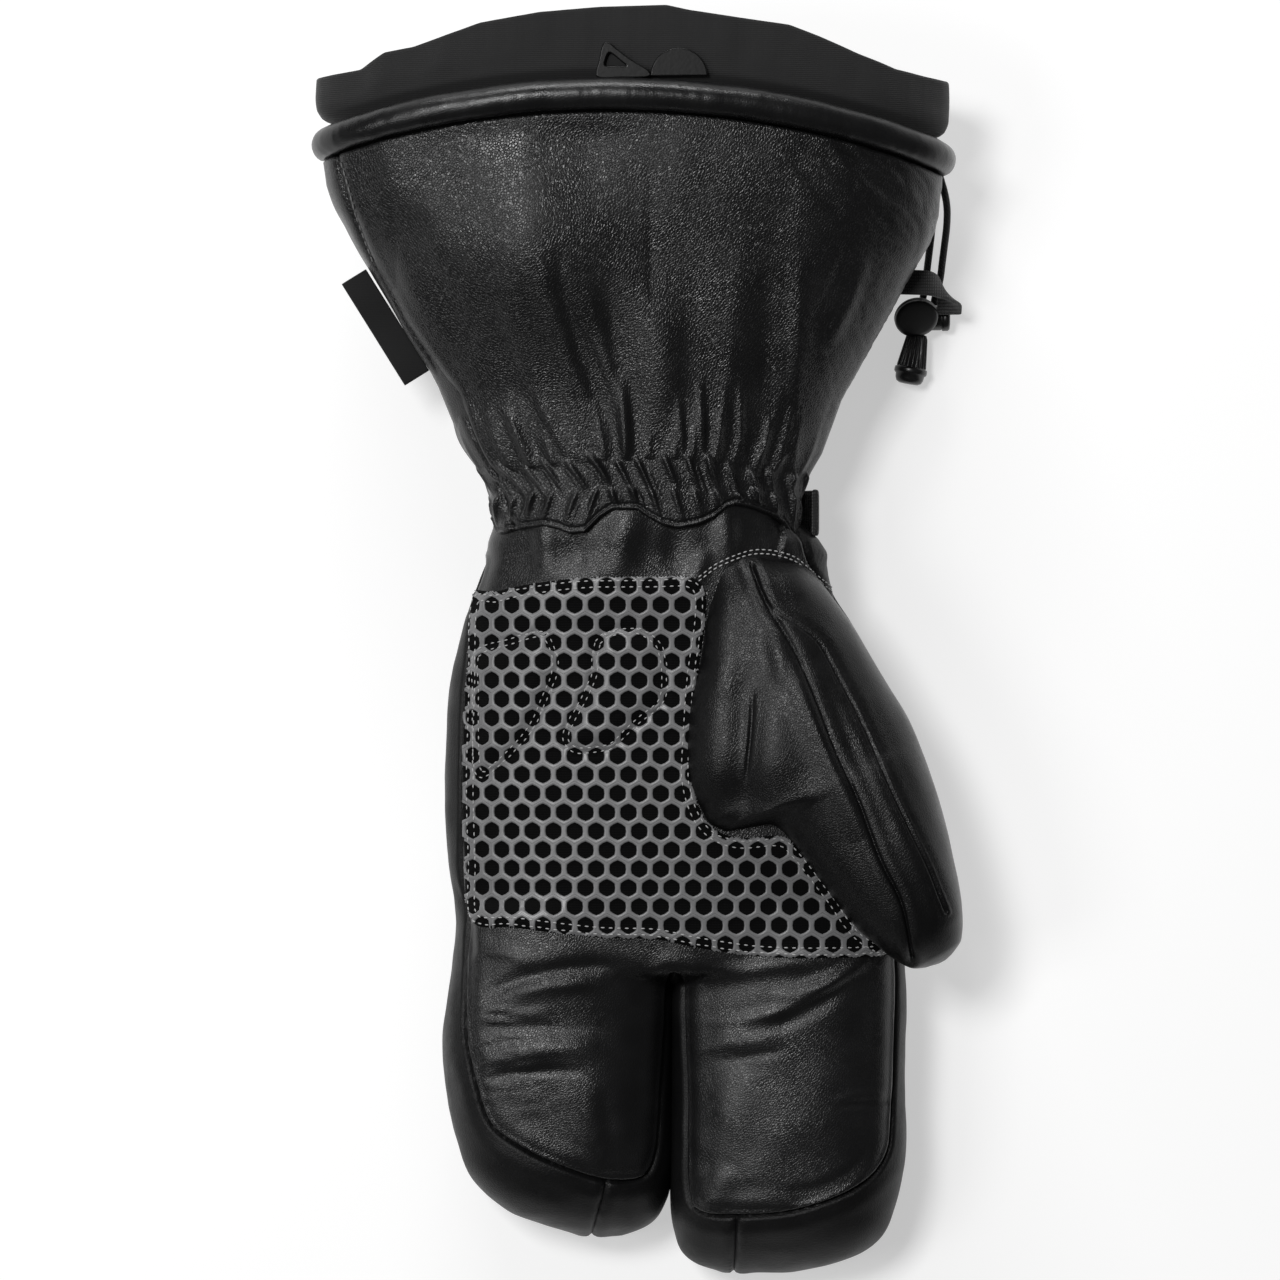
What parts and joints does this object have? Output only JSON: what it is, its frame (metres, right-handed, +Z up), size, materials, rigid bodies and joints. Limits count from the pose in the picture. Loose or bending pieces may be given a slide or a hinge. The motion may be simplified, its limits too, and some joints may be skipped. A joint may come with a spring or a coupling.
{
  "type": "lobster claw mitt",
  "caption": "Padded leather winter mitt for the left hand with two wide finger stalls, a thumb, a gripping palm patch, a gathered wrist and a flared gauntlet with a nylon sleeve.",
  "frame": {"origin": "middle of the box round the mitt without its drawcord, on the surface that it lies on", "axes": "+Y from the finger tips to the gauntlet's mouth, +X to the thumb's side, +Z up, out of the palm"},
  "size_m": [0.1954, 0.3766, 0.0762],
  "materials": {
    "gauntlet_leather": "grained black leather, softly glossy on the folds",
    "roll_leather": "smooth black leather over a padded roll",
    "sleeve_nylon": "matte black woven nylon",
    "palm_leather": "soft black leather, creased over the stalls",
    "side_leather": "soft black leather",
    "back_leather": "soft black leather",
    "grip_fabric": "black woven fabric under a raised silver-grey silicone net",
    "thumb_leather": "soft black leather",
    "webbing": "black woven webbing",
    "tab_fabric": "black woven tape, bare",
    "black_plastic": "moulded black plastic",
    "lock_plastic": "moulded black plastic with a low gloss",
    "cord": "round braided black cord"
  },
  "bodies": {
    "root": {"gauntlet": "gauntlet_leather", "cuff_roll": "roll_leather", "snow_sleeve": "sleeve_nylon", "palm_panel": "palm_leather", "outer_side_strip": "side_leather", "fourchette": "side_leather", "inner_side_strip": "side_leather", "back_panel": "back_leather", "grip_patch": "grip_fabric", "thumb_inner_panel": "thumb_leather", "thumb_outer_panel": "thumb_leather", "wrist_strap": "webbing", "side_tab": "tab_fabric", "lock_tab": "webbing", "clip_tab": "black_plastic", "clip_loop": "black_plastic", "cord_lock": "lock_plastic", "cord_end": "lock_plastic", "drawcord_a": "cord", "drawcord_b": "cord"}
  },
  "joints": []
}
